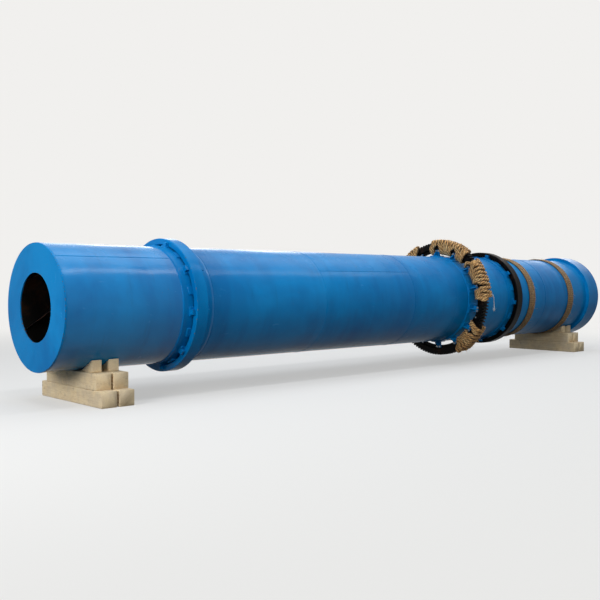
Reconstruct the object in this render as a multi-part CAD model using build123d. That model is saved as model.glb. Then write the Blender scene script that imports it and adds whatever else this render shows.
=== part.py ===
from build123d import *
import os
from math import acos, asin, cos, degrees, pi, radians, sin, sqrt, tan

# Drum of a rotary dryer, lying on timber bearers. Lengths in millimetres.
# X runs along the drum from the feed end to the outlet end, Z is up, and
# Z = 0 is the ground under the bearers. Clock angles are seen from the
# feed end: 0 is the top, 90 the side at -Y, 180 the bottom.

# Shell
drum_length = 12000
shell_outer_r = 750
shell_wall = 14
course_count = 6
end_plate_thick = 16
end_hole_r = 405

# Raised bands welded round the shell under the tyres and the gear
band_thick = 14
tyre_band_length = 420
gear_band_length = 330

# Tyres, on pads that leave air between tyre and shell
tyre_feed_from_end = 1750
tyre_outlet_from_end = 3100
tyre_width = 170
tyre_thick = 78
tyre_chamfer = 8
stop_count = 9
pads_per_stop = 2
first_stop_angle = 15
pad_width = 110
pad_thick = 18
pad_overhang = 45
stop_width = 62
stop_length = 45
stop_height = 46

# Girth gear, in two halves bolted together
gear_from_tyre = 1300
gear_module = 18
gear_stand_off = 226
pressure_angle = 20
gear_face = 130
gear_rim_thick = 72.5
gear_web_depth = 63
gear_web_thick = 30
joint_angle = 114.5
joint_gap = 1
joint_lug_thick = 42
joint_lug_face = 96

# Gear brackets: a curved foot, an upright plate and a gusset each
bracket_count = 14
first_bracket_angle = 24.5
foot_thick = 12
foot_width = 150
foot_feed_length = 148
foot_outlet_length = 60
upright_thick = 20
upright_width = 96
upright_overlap = 46
gusset_thick = 16
gusset_reach = 96
gusset_top = 24

# Straw rope round the gear rim and round the shell
wrap_angles = ((-7, 39), (48, 91), (118, 153), (222, 278), (300, 334))
wrap_thick = 48
wrap_past_rim = 15
wrap_bracket_gap = 12
straw_band_length = 225
straw_band_thick = 24
straw_band_1_from_tyre = 575
straw_band_2_from_tyre = 2025

# Loose end of the string that ties a wrap: it leaves the wrap along X and hangs down
string_r = 5
string_angle = 84
string_route = ((0, 0, 0), (44, 0, 0), (88, -8, -22), (114, -16, -78), (109, -15, -146),
                (120, -19, -208), (114, -20, -260))
run_share = 0.45

# Seal collar at the outlet end
collar_rise = 50
collar_length = 400
collar_wall = 12

# Lifting flights and feed vanes inside the shell
flight_bays = 4
flights_per_bay = 12
flights_from_feed = 1230
flights_from_outlet = 1130
flight_bay_gap = 40
flight_height = 125
flight_thick = 8
flight_lip = 62
flight_lip_angle = 60
vane_count = 6
vane_length = 1050
vane_height = 150
vane_thick = 8
vane_turn = 62
vane_start_gap = 60

# Timber bearers and chocks
bearer_feed_from_end = 640
bearer_outlet_from_end = 690
timber_height = 190
timber_width = 200
timber_gap = 24
lower_timber_length = 1500
upper_timber_length = 1240
chock_contact_angle = 28
chock_height = 150
chock_width = 120

# Clearances, and how far a cut or a fused body reaches past a face
seat_gap = 0.3
overlap = 1

# Angles in degrees
half_turn = 180
full_turn = 360

# Derived places
shell_inner_r = shell_outer_r - shell_wall
axis_z = 2 * timber_height + shell_outer_r
feed_end_x = -drum_length / 2
outlet_end_x = drum_length / 2
tyre_feed_x = feed_end_x + tyre_feed_from_end
tyre_outlet_x = outlet_end_x - tyre_outlet_from_end
gear_x = tyre_outlet_x - gear_from_tyre
band_outer_r = shell_outer_r + band_thick
tyre_inner_r = band_outer_r + pad_thick
tyre_outer_r = tyre_inner_r + tyre_thick
teeth_per_half = round((band_outer_r + gear_stand_off) / gear_module)
gear_teeth = 2 * teeth_per_half
gear_pitch_r = gear_module * teeth_per_half
gear_tip_r = gear_pitch_r + gear_module
gear_root_r = gear_pitch_r - 1.25 * gear_module
gear_rim_inner_r = gear_root_r - gear_rim_thick
gear_web_inner_r = gear_rim_inner_r - gear_web_depth
collar_inner_r = shell_outer_r + collar_rise
collar_outer_r = collar_inner_r + collar_wall
flighted_length = drum_length - flights_from_feed - flights_from_outlet
flight_length = (flighted_length + flight_bay_gap) / flight_bays - flight_bay_gap


def about_axis(x, shape):
    """Stand a shape that was drawn along +Z on the drum's axis, starting at x."""
    return Pos(x, 0, axis_z) * Rot(0, 90, 0) * shape


def ring(x, length, inner_r, outer_r):
    """A plain ring round the drum's axis, from x to x + length."""
    outer = Cylinder(outer_r, length, align=(Align.CENTER, Align.CENTER, Align.MIN))
    inner = Cylinder(inner_r, length, align=(Align.CENTER, Align.CENTER, Align.MIN))
    return about_axis(x, outer - inner)


def polar(r, clock):
    """A point of the cross-section, as drawn before it is stood on the axis."""
    return (-r * cos(radians(clock)), -r * sin(radians(clock)))


def arc(r, clock_from, clock_to):
    """An arc of the cross-section between two clock angles."""
    middle = (clock_from + clock_to) / 2
    return ThreePointArc(polar(r, clock_from), polar(r, middle), polar(r, clock_to))


def sector(x, length, inner_r, outer_r, clock_from, clock_to):
    """Part of a ring between two clock angles."""
    outline = [
        arc(outer_r, clock_from, clock_to),
        Line(polar(outer_r, clock_to), polar(inner_r, clock_to)),
        arc(inner_r, clock_to, clock_from),
        Line(polar(inner_r, clock_from), polar(outer_r, clock_from)),
    ]
    return about_axis(x, extrude(make_face(outline), length, dir=(0, 0, 1)))


def place_at(clock, shape):
    """Turn a shape that was built at the top of the drum round the axis."""
    return Pos(0, 0, axis_z) * Rot(clock, 0, 0) * Pos(0, 0, -axis_z) * shape


def spread(shape, count, first_clock=0):
    """Evenly spaced copies round the axis of a shape built at the top."""
    step = full_turn / count
    solids = shape.solids()
    return Compound(children=[
        place_at(first_clock + i * step, solid) for i in range(count) for solid in solids])


def save(shape, name):
    export_step(shape, f"parts/{name}.step")


def shell_course(number):
    """One rolled and welded length of the shell."""
    usable = drum_length - 2 * end_plate_thick
    length = usable / course_count
    x = feed_end_x + end_plate_thick + number * length
    return ring(x, length, shell_inner_r, shell_outer_r)


def end_plate(x, outer_r):
    return ring(x, end_plate_thick, end_hole_r, outer_r)


def seal_collar():
    """A sheet sleeve that the outlet hood's seal runs on."""
    x = outlet_end_x - collar_length
    return ring(x, collar_length - end_plate_thick, collar_inner_r, collar_outer_r)


def seal_collar_side():
    """The flat ring that closes the sleeve towards the tyre."""
    x = outlet_end_x - collar_length
    return ring(x, collar_wall, shell_outer_r, collar_inner_r)


def tyre(x):
    """A forged riding ring with its four edges broken."""
    body = ring(x - tyre_width / 2, tyre_width, tyre_inner_r, tyre_outer_r)
    rims = body.edges().filter_by(GeomType.CIRCLE)
    return chamfer(rims, tyre_chamfer)


def tyre_pads(x):
    """Flat-bottomed pads between the shell's band and the tyre."""
    half_angle = degrees(asin(pad_width / 2 / band_outer_r))
    length = tyre_width + 2 * pad_overhang
    pad = sector(x - length / 2, length, band_outer_r, tyre_inner_r - seat_gap,
                 -half_angle, half_angle)
    return spread(pad, stop_count * pads_per_stop, first_stop_angle)


def tyre_stops(x):
    """Blocks welded on some pads, on both sides of the tyre, to hold it sideways."""
    inner_r = tyre_inner_r - seat_gap
    half_angle = degrees(asin(stop_width / 2 / inner_r))
    blocks = []
    for start in (x - tyre_width / 2 - seat_gap - stop_length, x + tyre_width / 2 + seat_gap):
        blocks.append(sector(start, stop_length, inner_r, inner_r + stop_height,
                             -half_angle, half_angle))
    return spread(Compound(children=blocks), stop_count, first_stop_angle)


def involute(angle):
    return tan(angle) - angle


def tooth_half_angle(r):
    """Half the angle that one tooth fills at radius r, in degrees."""
    base_r = gear_pitch_r * cos(radians(pressure_angle))
    at_pitch = pi / (2 * gear_teeth) + involute(radians(pressure_angle))
    return degrees(at_pitch - involute(acos(base_r / r)))


def tooth(clock):
    """Edges of one tooth and of the root behind it, each flank an arc through the involute."""
    root, pitch, tip = (tooth_half_angle(r) for r in (gear_root_r, gear_pitch_r, gear_tip_r))
    pitch_step = full_turn / gear_teeth
    return [
        ThreePointArc(polar(gear_root_r, clock - root), polar(gear_pitch_r, clock - pitch),
                      polar(gear_tip_r, clock - tip)),
        Line(polar(gear_tip_r, clock - tip), polar(gear_tip_r, clock + tip)),
        ThreePointArc(polar(gear_tip_r, clock + tip), polar(gear_pitch_r, clock + pitch),
                      polar(gear_root_r, clock + root)),
        Line(polar(gear_root_r, clock + root), polar(gear_root_r, clock + pitch_step - root)),
    ]


def gear_half(start_clock):
    """Half the girth gear: toothed rim, inner web and a bolting lug at each end."""
    pitch_step = full_turn / gear_teeth
    edges = []
    for i in range(teeth_per_half):
        edges += tooth(start_clock + (i + 0.5) * pitch_step)
    edges.pop()
    root = tooth_half_angle(gear_root_r)
    first = start_clock + pitch_step / 2 - root
    last = start_clock + half_turn - pitch_step / 2 + root
    cut_angle = degrees(joint_gap / 2 / gear_root_r)
    begin = start_clock + cut_angle
    end = start_clock + half_turn - cut_angle
    edges.append(Line(polar(gear_root_r, last), polar(gear_root_r, end)))
    edges.append(Line(polar(gear_root_r, end), polar(gear_rim_inner_r, end)))
    edges.append(arc(gear_rim_inner_r, end, begin))
    edges.append(Line(polar(gear_rim_inner_r, begin), polar(gear_root_r, begin)))
    edges.append(Line(polar(gear_root_r, begin), polar(gear_root_r, first)))
    rim = extrude(make_face(edges), gear_face, dir=(0, 0, 1))
    half = about_axis(gear_x - gear_face / 2, rim)
    half += sector(gear_x - gear_web_thick / 2, gear_web_thick, gear_web_inner_r,
                   gear_rim_inner_r + overlap, begin, end)
    lug_angle = degrees(joint_lug_thick / gear_web_inner_r)
    for clock_from, clock_to in ((begin, begin + lug_angle), (end - lug_angle, end)):
        half += sector(gear_x - joint_lug_face / 2, joint_lug_face, gear_web_inner_r,
                       gear_rim_inner_r + overlap, clock_from, clock_to)
    return half


def gear_feet():
    """Curved plates welded on the gear's band."""
    half_angle = degrees(asin(foot_width / 2 / band_outer_r))
    foot = sector(gear_x - foot_feed_length, foot_feed_length + foot_outlet_length,
                  band_outer_r, band_outer_r + foot_thick, -half_angle, half_angle)
    return spread(foot, bracket_count, first_bracket_angle)


def gear_uprights():
    """A plate on each foot, bolted to the gear's web, with a gusset behind it."""
    foot_top_r = band_outer_r + foot_thick
    top_r = gear_web_inner_r + upright_overlap
    web_face_x = gear_x - gear_web_thick / 2
    seat_drop = foot_top_r - sqrt(foot_top_r ** 2 - (upright_width / 2) ** 2)
    z_low = axis_z + foot_top_r - seat_drop
    z_high = axis_z + top_r
    plate_z = (z_low + z_high) / 2
    plate = Pos(web_face_x - upright_thick / 2, 0, plate_z) * Box(
        upright_thick, upright_width, z_high - z_low)
    plate -= about_axis(web_face_x - 2 * upright_thick, Cylinder(
        foot_top_r, 3 * upright_thick, align=(Align.CENTER, Align.CENTER, Align.MIN)))
    back_x = web_face_x - upright_thick
    gusset_low = axis_z + sqrt(foot_top_r ** 2 - (gusset_thick / 2) ** 2)
    outline = Polyline((back_x, gusset_low), (back_x, z_high - gusset_top),
                       (back_x - gusset_top, z_high - gusset_top),
                       (back_x - gusset_reach, gusset_low + gusset_top),
                       (back_x - gusset_reach, gusset_low), close=True)
    gusset = extrude(Plane.XZ * make_face(outline), gusset_thick / 2, both=True)
    gusset -= about_axis(gear_x - 2 * foot_feed_length, Cylinder(
        foot_top_r, 3 * foot_feed_length, align=(Align.CENTER, Align.CENTER, Align.MIN)))
    return spread(plate + gusset, bracket_count, first_bracket_angle)


def revolved_on_gear(side, clock_from, clock_to):
    """A closed outline turned about the axis: the points of one side, as offsets from the
    gear's middle plane and radii, and the same points mirrored."""
    points = side + [(-x, r) for x, r in reversed(side)]
    outline = Polyline(*[(gear_x + x, axis_z + r) for x, r in points], close=True)
    profile = Plane.XZ * make_face(outline)
    turned = revolve(profile, Axis((0, 0, axis_z), (1, 0, 0)), clock_to - clock_from)
    return place_at(clock_from, turned)


def straw_wrap(clock_from, clock_to):
    """Rope wound round rim and web as a sleeve, open on the inside where a bracket stands."""
    half_face = gear_face / 2
    half_web = gear_web_thick / 2
    outer_half = half_face + wrap_thick
    bend_r = gear_rim_inner_r - wrap_past_rim
    low_r = gear_web_inner_r - wrap_thick
    sleeve = revolved_on_gear(
        [(outer_half, gear_tip_r + wrap_thick), (outer_half, bend_r), (half_web + wrap_thick, low_r)],
        clock_from, clock_to)
    sleeve -= revolved_on_gear(
        [(half_face + seat_gap, gear_tip_r + seat_gap),
         (half_face + seat_gap, gear_rim_inner_r - seat_gap),
         (half_web + seat_gap, gear_rim_inner_r - seat_gap),
         (half_web + seat_gap, gear_web_inner_r - seat_gap)],
        clock_from - overlap, clock_to + overlap)
    open_angle = degrees(asin((upright_width / 2 + wrap_bracket_gap) / gear_web_inner_r))
    # One bracket before the first too, for a wrap that starts before the top
    for i in range(-1, bracket_count):
        clock = first_bracket_angle + i * full_turn / bracket_count
        if clock_from - open_angle < clock < clock_to + open_angle:
            sleeve -= sector(gear_x - outer_half - overlap, 2 * (outer_half + overlap),
                             low_r - overlap, bend_r, clock - open_angle, clock + open_angle)
    return sleeve


def bend_radii(points):
    """The widest arc that each corner of a route has room for."""
    radii = []
    for before, here, after in zip(points, points[1:], points[2:]):
        run_in, run_out = here - before, after - here
        turn = radians(run_in.get_angle(run_out))
        radii.append(run_share * min(run_in.length, run_out.length) / tan(turn / 2))
    return radii


def loose_string():
    """The string from the side of its wrap, hanging beside the shell."""
    clock = radians(string_angle)
    exit_point = Vector(gear_x + gear_face / 2 + wrap_thick, -gear_pitch_r * sin(clock),
                        axis_z + gear_pitch_r * cos(clock))
    points = [exit_point + Vector(*offset) for offset in string_route]
    radii = bend_radii(points)
    print("string bends", [round(r) for r in radii])
    print("string points", [tuple(round(v) for v in point) for point in points])
    path = FilletPolyline(*points, radius=radii)
    return sweep(Plane(points[0], z_dir=points[1] - points[0]) * Circle(string_r), path=path)


def straw_band(from_tyre):
    x = tyre_outlet_x + from_tyre - straw_band_length / 2
    return ring(x, straw_band_length, shell_outer_r + seat_gap,
                shell_outer_r + seat_gap + straw_band_thick)


def flight():
    """A lifting flight at the top of the shell: a plate with a bent lip."""
    lip = radians(flight_lip_angle)
    half = flight_thick / 2
    root_r = sqrt(shell_inner_r ** 2 - half ** 2)
    bend_r = root_r - flight_height
    step_y = flight_lip * sin(lip)
    step_r = flight_lip * cos(lip)
    corner = flight_thick * tan(lip / 2) / 2
    outline = Polyline((-half, root_r), (half, root_r), (half, bend_r + corner),
                       (half + step_y, bend_r + corner - step_r),
                       (half + step_y - flight_thick * cos(lip),
                        bend_r + corner - step_r - flight_thick * sin(lip)),
                       (-half, bend_r - corner), close=True)
    profile = Plane.YZ * make_face(outline)
    return Pos(0, 0, axis_z) * extrude(profile, flight_length, dir=(1, 0, 0))


def flight_bay(number):
    """One bay of flights, turned half a step from the bay before it."""
    x = feed_end_x + flights_from_feed + number * (flight_length + flight_bay_gap)
    step = full_turn / flights_per_bay
    return spread(Pos(x, 0, 0) * flight(), flights_per_bay, (number % 2) * step / 2)


def feed_vanes():
    """Screw vanes that carry the material away from the feed end."""
    x = feed_end_x + end_plate_thick + vane_start_gap
    root_r = sqrt(shell_inner_r ** 2 - (vane_thick / 2) ** 2)
    vanes = []
    for i in range(vane_count):
        strip = Pos(root_r - vane_height / 2, 0) * Rectangle(vane_height, vane_thick)
        strip = Rot(0, 0, i * full_turn / vane_count) * strip
        vanes.append(Solid.extrude_linear_with_rotation(
            strip.face(), (0, 0, 0), (0, 0, vane_length), vane_turn))
    return about_axis(x, Compound(children=vanes))


def timber_pair(x, z, length):
    """Two timbers side by side, lying across the drum."""
    offset = (timber_width + timber_gap) / 2
    return Compound(children=[
        Pos(x + side * offset, 0, z + timber_height / 2) * Box(
            timber_width, length, timber_height) for side in (-1, 1)])


def chocks(x):
    """Wedges on the upper timbers, each with its slope against the shell."""
    slope = radians(chock_contact_angle)
    toe_y = shell_outer_r * tan(slope / 2)
    heel_y = toe_y + chock_height / tan(slope)
    top = 2 * timber_height
    offset = (timber_width + timber_gap) / 2
    wedges = []
    for side in (-1, 1):
        for across in (-1, 1):
            outline = Polyline((across * toe_y, top), (across * heel_y, top),
                               (across * heel_y, top + chock_height), close=True)
            wedge = extrude(Plane.YZ * make_face(outline), chock_width / 2, both=True)
            wedges.append(Pos(x + side * offset, 0, 0) * wedge)
    return Compound(children=wedges)


os.makedirs("parts", exist_ok=True)

for i in range(course_count):
    save(shell_course(i), f"shell_course_{i + 1}")
save(end_plate(feed_end_x, shell_outer_r), "feed_end_plate")
save(end_plate(outlet_end_x - end_plate_thick, collar_outer_r), "outlet_end_plate")
save(seal_collar(), "seal_collar")
save(seal_collar_side(), "seal_collar_side")

for name, x in (("feed", tyre_feed_x), ("outlet", tyre_outlet_x)):
    save(ring(x - tyre_band_length / 2, tyre_band_length, shell_outer_r, band_outer_r),
         f"{name}_tyre_band")
    save(tyre(x), f"{name}_tyre")
    save(tyre_pads(x), f"{name}_tyre_pads")
    save(tyre_stops(x), f"{name}_tyre_stops")

gear_band_x = gear_x - gear_band_length / 2
save(ring(gear_band_x, gear_band_length, shell_outer_r, band_outer_r), "gear_band")
save(gear_half(joint_angle), "girth_gear_lower_half")
save(gear_half(joint_angle + half_turn), "girth_gear_upper_half")
save(gear_feet(), "gear_feet")
save(gear_uprights(), "gear_uprights")

for i, (clock_from, clock_to) in enumerate(wrap_angles):
    save(straw_wrap(clock_from, clock_to), f"straw_wrap_{i + 1}")
save(loose_string(), "loose_string")
save(straw_band(straw_band_1_from_tyre), "straw_band_1")
save(straw_band(straw_band_2_from_tyre), "straw_band_2")

for i in range(flight_bays):
    save(flight_bay(i), f"lifting_flights_{i + 1}")
save(feed_vanes(), "feed_vanes")

bearers = (("feed", feed_end_x + bearer_feed_from_end),
           ("outlet", outlet_end_x - bearer_outlet_from_end))
for name, x in bearers:
    save(timber_pair(x, 0, lower_timber_length), f"{name}_lower_timbers")
    save(timber_pair(x, timber_height, upper_timber_length), f"{name}_upper_timbers")
    save(chocks(x), f"{name}_chocks")
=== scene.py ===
"""Sawdust dryer drum: its enamel, grease, straw rope, welds, bolts and timbers, with floor, lamps and
camera."""
from functools import partial

import bpy
import numpy as np
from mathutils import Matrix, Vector


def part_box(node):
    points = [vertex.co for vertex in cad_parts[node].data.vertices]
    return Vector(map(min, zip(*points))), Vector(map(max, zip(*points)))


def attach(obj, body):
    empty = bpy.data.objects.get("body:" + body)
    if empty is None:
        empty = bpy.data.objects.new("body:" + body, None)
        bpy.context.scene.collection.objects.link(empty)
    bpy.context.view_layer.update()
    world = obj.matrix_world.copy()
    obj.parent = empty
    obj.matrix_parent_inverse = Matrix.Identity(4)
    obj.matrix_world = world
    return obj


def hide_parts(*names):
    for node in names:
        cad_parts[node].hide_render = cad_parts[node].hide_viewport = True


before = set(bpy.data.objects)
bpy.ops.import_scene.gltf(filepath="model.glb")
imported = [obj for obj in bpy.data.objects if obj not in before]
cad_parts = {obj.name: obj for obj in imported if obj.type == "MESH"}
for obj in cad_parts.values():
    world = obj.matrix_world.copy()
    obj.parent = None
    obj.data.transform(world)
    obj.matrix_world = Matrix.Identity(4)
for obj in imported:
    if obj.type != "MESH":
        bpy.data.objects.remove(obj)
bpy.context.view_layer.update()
TAU = 2 * np.pi

# Drum, in metres: X runs along it from the feed end, Z is up. Clock angles are seen from the feed end, in
# degrees: 0 is up and 90 the side at -Y
AXIS_Z = 1.13
AXIS = np.array([0, 0, AXIS_Z])
HALF_LENGTH = 6.0
SHELL_R = 0.75
COURSES = 6
SEAM_CLOCKS = (38, 322, 52, 309, 44, 318)
END_PLATE = 0.016
END_HOLE_R = 0.405
COLLAR_R = 0.812
COLLAR_LENGTH = 0.4
COLLAR_X = HALF_LENGTH - COLLAR_LENGTH

# Tyres, the raised bands under them and the pads between
BAND_R = 0.764
TYRE_BAND_LENGTH = 0.42
FEED_TYRE_X = -4.25
OUTLET_TYRE_X = 2.9
TYRE_R = 0.86
TYRE_HALF_WIDTH = 0.085
PADS = 18
FIRST_PAD = 15
PAD_HALF_WIDTH = 0.055
PAD_HALF_LENGTH = 0.13

# Girth gear and the brackets that carry it
GEAR_X = 1.6
GEAR_BAND_LENGTH = 0.33
GEAR_HALF_FACE = 0.065
GEAR_TIP_R = 1.008
RIM_INNER_R = 0.895
WEB_INNER_R = 0.832
WEB_HALF = 0.015
JOINT_CLOCK = 114.5
BRACKETS = 14
FIRST_BRACKET = 24.5
BRACKET_STEP = 360 / BRACKETS
UPRIGHT_THICK = 0.02
FOOT_HALF_WIDTH = 0.075
FOOT_FEED_LENGTH = 0.148
FOOT_OUTLET_LENGTH = 0.06

# Bolts: diameter of the shank, radius on the drum, and distance from the bracket's or the web's middle
BRACKET_BOLT, BRACKET_BOLT_R, BRACKET_BOLT_SIDE = 0.02, 0.857, 0.028
LUG_BOLT, LUG_BOLT_R, LUG_BOLT_SIDE = 0.016, 0.8635, 0.0315
LUG_GRIP = 0.0866

# Weld beads: half width and height. A fillet's middle lies a little off the corner that it fills
SEAM_BEAD = (0.008, 0.003)
FILLET = (0.009, 0.004)
COLLAR_BEAD = (0.006, 0.003)
EDGE_BEAD = (0.006, 0.0025)
PLATE_BEAD = (0.007, 0.0035)
OFF_CORNER = 0.003
BEAD_STEP = 0.012
LEAN = np.pi / 4

# Straw rope: the clock angles that each wrap of the gear covers, and the bands on the shell
WRAP_ANGLES = ((-7, 39), (48, 91), (118, 153), (222, 278), (300, 334))
WRAP_STALKS = 420
BAND_CENTRES = (3.475, 4.925)
STRAW_BAND_LENGTH = 0.225
STRAW_BAND_START = 205
BAND_STALKS = 260
# Marks across a rope are drawn for one 30 mm in half width. Where its surface comes nearer to the middle
# than the second distance it is darkened by painted shade, and at the first it's darkest
ROPE_MARK_R = 0.03
VALLEY = (0.0225, 0.0285)

# Loose string: where it leaves its wrap, and the points of its route from there
STRING_EXIT = (1.713, -0.98458, 1.23348)
STRING_ROUTE = ((0, 0, 0), (0.044, 0, 0), (0.088, -0.008, -0.022), (0.114, -0.016, -0.078),
                (0.109, -0.015, -0.146), (0.120, -0.019, -0.208), (0.114, -0.020, -0.260))
STRING_DIAMETER = 0.010
STRING_LAY = 0.03
STRING_FIBRES = 420
FRAYED_FIBRES = 110

# Timbers. A chock's slope touches the shell 28 degrees from its lowest point
TIMBER_WIDTH = 0.2
CHOCK_WIDTH = 0.12
CHOCK_TOE = SHELL_R * np.tan(np.radians(28 / 2))

# Specular level of the enamel on each rolled length, from the feed end
COURSE_GLOSS = (0.26, 0.10, 0.08, 0.06, 0.05, 0.05)

# Seeds of the random draws. The second wrap, band or end takes the next one
WRAP_SEED, BAND_SEED, TIMBER_SEED, CHOCK_SEED, STRING_SEED = 11, 31, 51, 71, 91


# Meshes

def on_drum(x, r, clock):
    """A point at x along the drum, radius r and clock angle c in radians: y is -r sin c, and z is r cos c
    above the axis."""
    x, r, clock = np.broadcast_arrays(x, r, clock)
    return np.stack([x, -r * np.sin(clock), AXIS_Z + r * np.cos(clock)], axis=-1)


def from_axis(points):
    """Each point's direction straight away from the drum's axis, and its distance from it."""
    away = points - AXIS
    away[:, 0] = 0
    distance = np.linalg.norm(away, axis=1)
    return away / distance[:, None], distance


def unit(vectors):
    """Each vector over its own length."""
    return vectors / np.linalg.norm(vectors, axis=-1, keepdims=True)


def length_along(path):
    """The sum of a path's steps up to each of its points."""
    return np.concatenate([[0], np.cumsum(np.linalg.norm(np.diff(path, axis=0), axis=1))])


def grid(rows, columns, close_rows=False):
    """The faces of a grid of points, each a square between two rows and two columns. The last column
    joins the first, and so does the last row where the rows are closed."""
    i = np.arange(rows if close_rows else rows - 1)[:, None]
    j = np.arange(columns)[None, :]
    i2, j2 = (i + 1) % rows, (j + 1) % columns
    corners = [i * columns + j, i * columns + j2, i2 * columns + j2, i2 * columns + j]
    return np.stack(np.broadcast_arrays(*corners), axis=-1).reshape(-1, 4)


def tube_faces(rows, columns):
    """A grid closed round its columns, with a flat cap on its first and its last row."""
    first = np.arange(columns)[::-1]
    return [grid(rows, columns), np.stack([first, first[::-1] + (rows - 1) * columns])]


def copies(points, faces):
    """The faces of shapes that are all alike, with one row of points for each: a shape's own faces start
    at its first point."""
    count, size = points.shape[:2]
    starts = (np.arange(count) * size)[:, None, None]
    return points.reshape(-1, 3), [(block[None] + starts).reshape(-1, block.shape[1]) for block in faces]


def round_the_drum(points, faces, clocks):
    """A shape given at the top of the drum, measured from its axis, and turned about the axis to each
    clock angle c: y becomes y cos c - z sin c, and z becomes y sin c + z cos c."""
    c, s = np.cos(np.radians(clocks)), np.sin(np.radians(clocks))
    one, zero = np.ones_like(c), np.zeros_like(c)
    turns = np.array([[one, zero, zero], [zero, c, -s], [zero, s, c]])
    return copies(np.einsum("ijk,nj->kni", turns, points) + AXIS, faces)


def six_volumes(points, faces):
    """Six times the volume that the faces enclose, from the triple product of each fan triangle."""
    total = 0.0
    for block in faces:
        a = points[block[:, 0]]
        for k in range(1, block.shape[1] - 1):
            total += np.einsum("ij,ij->", a, np.cross(points[block[:, k]], points[block[:, k + 1]]))
    return total


def join(shapes):
    """Several closed (points, faces) shapes as one, each turned so that its faces look outwards."""
    points, faces, start = [], [], 0
    for shape_points, shape_faces in shapes:
        inside_out = six_volumes(shape_points - shape_points.mean(axis=0), shape_faces) < 0
        points.append(shape_points)
        faces += [(block[:, ::-1] if inside_out else block) + start for block in shape_faces]
        start += len(shape_points)
    return np.concatenate(points), faces


def join_marked(shapes):
    """The same for (points, faces, marks) shapes."""
    points, faces = join([shape[:2] for shape in shapes])
    return points, faces, np.concatenate([shape[2] for shape in shapes])


def piece(name, shape, material, replaced=(), smooth=True):
    """A mesh of whole arrays that rides on the drum. Marks, where the shape has them, are a vector for
    each point."""
    points, faces = shape[:2]
    sizes = np.concatenate([np.full(len(block), block.shape[1]) for block in faces])
    corners = np.concatenate([block.ravel() for block in faces])
    mesh = bpy.data.meshes.new(name)
    mesh.vertices.add(len(points))
    mesh.vertices.foreach_set("co", np.ascontiguousarray(points, dtype=np.float32).ravel())
    mesh.loops.add(len(corners))
    mesh.loops.foreach_set("vertex_index", corners.astype(np.int32))
    mesh.polygons.add(len(sizes))
    mesh.polygons.foreach_set("loop_start", (np.cumsum(sizes) - sizes).astype(np.int32))
    mesh.polygons.foreach_set("use_smooth", np.full(len(sizes), smooth))
    mesh.update(calc_edges=True)
    if len(shape) == 3:
        layer = mesh.attributes.new("along", "FLOAT_VECTOR", "POINT")
        layer.data.foreach_set("vector", np.ascontiguousarray(shape[2], dtype=np.float32).ravel())
    mesh.materials.append(material)
    made = bpy.data.objects.new(name, mesh)
    bpy.context.scene.collection.objects.link(made)
    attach(made, "root")
    if replaced:
        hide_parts(*replaced)
    return made


# Materials. A noise is given its place, its features to the metre, its detail and its roughness

SMOOTH = {"interpolation_type": "SMOOTHSTEP"}
WHITE = "#F1F0EE"


def linear(code):
    """An sRGB hex colour as linear light."""
    parts = np.array([int(code[i:i + 2], 16) for i in (1, 3, 5)]) / 255
    return (*np.where(parts <= 0.04045, parts / 12.92, ((parts + 0.055) / 1.055) ** 2.4), 1.0)


def add_node(tree, kind, *values, **named):
    """Adds a node and gives its first output in use. Values go to its inputs in use, in their order. A
    name with a capital is an input, and any other a setting. An output as a value makes a link, and a hex
    colour becomes linear light."""
    made = tree.nodes.new("ShaderNode" + kind)
    for name in [name for name in named if name[0].islower()]:
        setattr(made, name, named.pop(name))
    inputs = list(zip([socket for socket in made.inputs if socket.enabled], values))
    inputs += [(made.inputs[name.replace("_", " ")], value) for name, value in named.items()]
    for socket, value in inputs:
        if isinstance(value, bpy.types.NodeSocket):
            tree.links.new(value, socket)
        else:
            socket.default_value = linear(value) if isinstance(value, str) else value
    return next((socket for socket in made.outputs if socket.enabled), None)


def start(name):
    """An empty material, the function that adds nodes to it, and its place, which is its Object
    coordinates in metres."""
    made = bpy.data.materials.new(name)
    made.use_nodes = True
    made.node_tree.nodes.clear()
    add = partial(add_node, made.node_tree)
    return made, add, add("TexCoord").node.outputs["Object"]


def coat(add, colour, pattern, none, full, most, shade):
    """A shade laid over a colour: not at all where the pattern has the value `none`, and by the share
    `most` where it has the value `full`."""
    amount = add("MapRange", pattern, none, full, 0.0, most, **SMOOTH)
    return add("Mix", amount, colour, shade, data_type="RGBA")


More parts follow.
